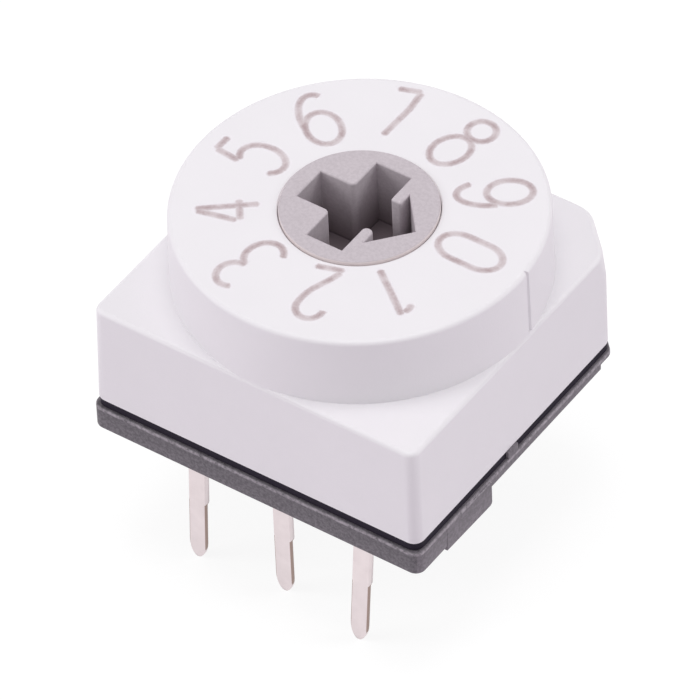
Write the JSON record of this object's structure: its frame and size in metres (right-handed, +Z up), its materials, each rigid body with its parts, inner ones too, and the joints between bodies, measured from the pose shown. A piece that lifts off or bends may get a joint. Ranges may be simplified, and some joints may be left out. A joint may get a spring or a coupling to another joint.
{
  "type": "rotary dip switch",
  "caption": "Sealed rotary code switch with a round dial, a slotted rotor and two rows of board pins.",
  "frame": {"origin": "centre of the switch on the circuit board's face, in the plane of the feet", "axes": "+Z up out of the board through the dial, +X the way that the dial's 0 faces, the front row of pins at -Y"},
  "size_m": [0.01, 0.01, 0.0103],
  "materials": {
    "white_plastic": "fine satin moulding with laser marked numbers on the dial",
    "grey_plastic": "satin moulding",
    "dark_plastic": "satin moulding with fine speckle",
    "black_rubber": "matt",
    "tinned_strip": "bright tin, slightly uneven",
    "gold_plate": "bright",
    "spring_steel": "bright",
    "epoxy": "cast, glossy"
  },
  "bodies": {
    "case": {"housing": "white_plastic", "base": "dark_plastic", "base_seal": "black_rubber", "detent_spring_left": "spring_steel", "detent_spring_right": "spring_steel", "terminal_1": "tinned_strip", "terminal_2": "tinned_strip", "terminal_4": "tinned_strip", "terminal_8": "tinned_strip", "terminal_common": "tinned_strip", "wiper_1": "gold_plate", "wiper_2": "gold_plate", "wiper_4": "gold_plate", "wiper_8": "gold_plate", "wiper_common": "gold_plate", "terminal_seal_front": "epoxy", "terminal_seal_rear": "epoxy"},
    "rotor": {"rotor": "grey_plastic", "o_ring": "black_rubber", "code_disc": "gold_plate"}
  },
  "joints": [
    {"name": "rotor_turn", "type": "hinge", "parent": "case", "child": "rotor", "pos_m": [0, 0, 0.00285], "axis": [0, 0, 1], "continuous": true}
  ]
}
